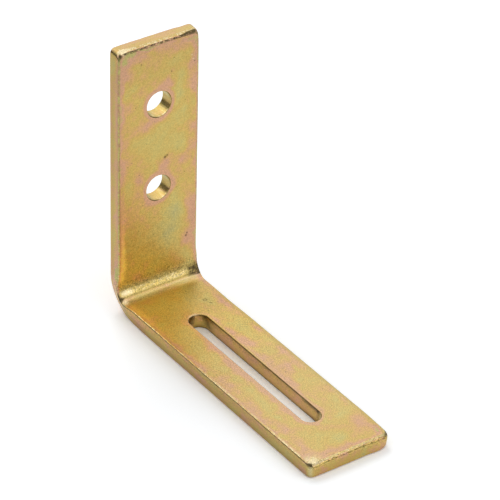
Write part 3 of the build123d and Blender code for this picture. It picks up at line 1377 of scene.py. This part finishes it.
@dataclass(frozen=True)
class PhotoCamera:
    """The camera at the photograph's viewing angle."""

    azimuth: float = -36.045
    elevation: float = 33.599
    roll: float = 1.608
    distance: float = 0.90872
    target: Triple = (0.01103, 0.0145, 0.0342)
    focal_pixels: float = 2918.8
    sensor: float = 36.0

    def place(self) -> None:
        """Create the camera, aim it and make it the scene's own."""
        turn, lift, roll = (math.radians(value) for value in (self.azimuth, self.elevation, self.roll))
        back = Vector((math.sin(turn) * math.cos(lift), -math.cos(turn) * math.cos(lift), math.sin(lift)))
        data = bpy.data.cameras.new("camera")
        data.sensor_width = self.sensor
        data.lens = self.focal_pixels * self.sensor / PHOTO_PIXELS
        data.clip_start, data.clip_end = 0.01, 20
        camera = bpy.data.objects.new("camera", data)
        bpy.context.collection.objects.link(camera)
        camera.location = Vector(self.target) + back * self.distance
        aim = (-back).to_track_quat("-Z", "Y").to_matrix().to_4x4()
        camera.rotation_mode = "QUATERNION"
        camera.rotation_quaternion = (aim @ Matrix.Rotation(roll, 4, "Z")).to_quaternion()
        bpy.context.scene.camera = camera


@dataclass(frozen=True)
class Panel:
    """A flat lamp or card that faces the bracket.

    Attributes:
        name: Its name.
        bearing: Its direction from the bracket.
        distance: Its distance from the bracket, in metres.
        size: Length of its sides, in metres.
    """

    name: str
    bearing: Triple
    distance: float
    size: tuple[float, float]

    def aim(self, thing: bpy.types.Object) -> None:
        """Put the lamp or card in its place and turn it to the bracket.

        Args:
            thing: The lamp or card.
        """
        away = Vector(self.bearing).normalized()
        thing.location = away * self.distance
        thing.rotation_mode = "QUATERNION"
        thing.rotation_quaternion = away.to_track_quat("Z", "Y")


@dataclass(frozen=True)
class Softbox(Panel):
    """A large soft lamp.

    Attributes:
        radiance: How bright its face is, where 1 is white.
        mirrored: Whether the bracket reflects the lamp's face.
    """

    radiance: float
    mirrored: bool = True

    def hang(self) -> None:
        """Hang the lamp."""
        data = bpy.data.lights.new(self.name, "AREA")
        data.shape, data.size, data.size_y = "RECTANGLE", *self.size
        data.energy = self.radiance * math.pi * self.size[0] * self.size[1]
        lamp = bpy.data.objects.new(self.name, data)
        bpy.context.collection.objects.link(lamp)
        self.aim(lamp)
        lamp.visible_glossy = self.mirrored


@dataclass(frozen=True)
class Flag(Panel):
    """A dark card that only reflections see, as a photographer sets one to give metal its dark edges."""

    def stand(self, cloth: bpy.types.Material) -> None:
        """Stand the card facing the bracket.

        Args:
            cloth: The material of its face.
        """
        deselect_all()
        bpy.ops.mesh.primitive_plane_add(size=1)
        card = bpy.context.object
        card.name = self.name
        card.scale = (*self.size, 1)
        self.aim(card)
        show_in_mirrors(card, cloth)


@dataclass(frozen=True)
class Curtain:
    """A low dark curtain round the table, which only reflections see as a horizon.

    Attributes:
        radius: Radius of its curve, in metres.
        drops: Its stretches, each with the bearings between which it hangs, in degrees round from +X, and its
            height.
    """

    radius: float = 0.6
    drops: Sequence[Triple] = ((-90, 0, 0.13), (0, 108, 0.06), (108, 190, 0.26), (190, 270, 0.08))

    def hang(self, cloth: bpy.types.Material) -> None:
        """Hang the curtain from a cylinder, its rim raised stretch by stretch.

        Args:
            cloth: Its material.
        """
        deselect_all()
        lowest = min(height for _, _, height in self.drops)
        bpy.ops.mesh.primitive_cylinder_add(vertices=120, radius=self.radius, depth=lowest,
                                            end_fill_type="NOTHING", location=(0, 0, lowest / 2))
        ring = bpy.context.object
        ring.name = "curtain"
        for start, end, height in self.drops:
            choose(ring, "vertices", lambda v: v.co.z > 0 and start <= self.bearing(v.co) < end)
            bpy.ops.transform.translate(value=(0, 0, height - lowest))
            bpy.ops.object.mode_set(mode="OBJECT")
        show_in_mirrors(ring, cloth)

    def bearing(self, place: Vector) -> float:
        """Return a place's bearing, in degrees round from +X, between -90 and 270."""
        return (math.degrees(math.atan2(place.y, place.x)) + 90) % 360 - 90


@dataclass(frozen=True)
class Studio:
    """White floor, soft lamps, dark flags and a white surround."""

    floor_size: float = 8.0
    floor_albedo: float = 0.86
    floor_seen: Triple = (1.365, 1.395, 1.425)
    floor_mirrored: float = 1.20
    card_albedo: float = 1.0
    card_place: Triple = (-0.10, 0.16, 0.0005)
    card_size: tuple[float, float] = (0.15, 0.24)
    cloth_albedo: float = 0.12
    surround_light: float = 0.60
    lamps: Sequence[Softbox] = (
        Softbox("softbox_front_right", (0.46, -0.74, 0.50), 1.6, (1.2, 0.6), 0.50),
        Softbox("softbox_overhead", (0.46, -0.22, 0.87), 1.6, (0.9, 0.6), 0.25),
        Softbox("softbox_back_right", (0.50, 0.68, 0.55), 1.6, (1.3, 1.0), 0.16),
        Softbox("softbox_back_left", (-0.23, 0.68, 0.72), 1.6, (0.8, 0.8), 0.40),
        Softbox("key_light", (0.16, 0.62, 0.77), 1.6, (0.7, 0.7), 3.0, mirrored=False),
    )
    flags: Sequence[Flag] = (
        Flag("flag_camera", (-0.60, -0.50, 0.60), 1.5, (0.5, 0.5)),
        Flag("flag_back_left", (-0.73, 0.68, 0.26), 0.42, (0.34, 0.26)),
    )
    horizon: Curtain = Curtain()

    def floor(self) -> None:
        """Lay the floor: pale as a light giver, and overexposed white, but for the shadow, where it is seen."""
        deselect_all()
        bpy.ops.mesh.primitive_plane_add(size=self.floor_size, location=(0, 0, 0))
        ground = bpy.context.object
        ground.name = "floor"
        bench = NodeBench("floor_white")
        path = bench.add("ShaderNodeLightPath")
        mirrored = bench.math("MAXIMUM", path.outputs["Is Glossy Ray"], path.outputs["Is Transmission Ray"])
        level = bench.math("MULTIPLY_ADD", mirrored, self.floor_mirrored - self.floor_albedo, self.floor_albedo)
        shown = bench.add("ShaderNodeMix", {0: path.outputs["Is Camera Ray"], 6: level, 7: (*self.floor_seen, 1)},
                          data_type="RGBA")
        matt = bench.add("ShaderNodeBsdfDiffuse", {"Color": shown.outputs[2]})
        output = bench.tree.nodes["Material Output"]
        bench.tree.links.new(matt.outputs["BSDF"], output.inputs["Surface"])
        bench.tree.nodes.remove(bench.shader)
        ground.data.materials.append(bench.material)

    def card(self) -> None:
        """Lay a grey card behind the bracket's left, which only reflections see, to dull its narrow faces."""
        deselect_all()
        bpy.ops.mesh.primitive_plane_add(size=1, location=self.card_place)
        sheet = bpy.context.object
        sheet.name = "grey_card"
        sheet.scale = (*self.card_size, 1)
        show_in_mirrors(sheet, matt_material("grey_paper", self.card_albedo))

    def surround(self) -> None:
        """Set a white surround, which lights the floor a little less brightly than it looks."""
        world = bpy.data.worlds.new("surround")
        bpy.context.scene.world = world
        world.use_nodes = True
        tree = world.node_tree
        path = tree.nodes.new("ShaderNodeLightPath")
        seen = path.outputs["Is Camera Ray"]
        for ray in ("Is Glossy Ray", "Is Transmission Ray"):
            either = tree.nodes.new("ShaderNodeMath")
            either.operation = "MAXIMUM"
            tree.links.new(seen, either.inputs[0])
            tree.links.new(path.outputs[ray], either.inputs[1])
            seen = either.outputs[0]
        level = tree.nodes.new("ShaderNodeMapRange")
        tree.links.new(seen, level.inputs["Value"])
        level.inputs["To Min"].default_value = self.surround_light
        tree.links.new(level.outputs["Result"], tree.nodes["Background"].inputs["Strength"])
        tree.nodes["Background"].inputs["Color"].default_value = (1, 1, 1, 1)

    def build(self) -> None:
        """Set up the whole studio."""
        self.floor()
        self.card()
        self.surround()
        cloth = matt_material("flag_cloth", self.cloth_albedo)
        self.horizon.hang(cloth)
        for lamp in self.lamps:
            lamp.hang()
        for flag in self.flags:
            flag.stand(cloth)


def main() -> None:
    """Build the bracket, its finish, the camera and the studio."""
    logging.basicConfig(level=logging.INFO, format="%(message)s")
    bpy.context.scene.view_settings.view_transform = "Standard"
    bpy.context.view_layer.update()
    PhotoCamera().place()
    bar = FoldedBar().build()
    bar.data.materials.clear()
    bar.data.materials.append(YellowZinc().material())
    LOG.info("%s: %d faces", bar.name, len(bar.data.polygons))
    Studio().build()


if __name__ == "__main__":
    main()
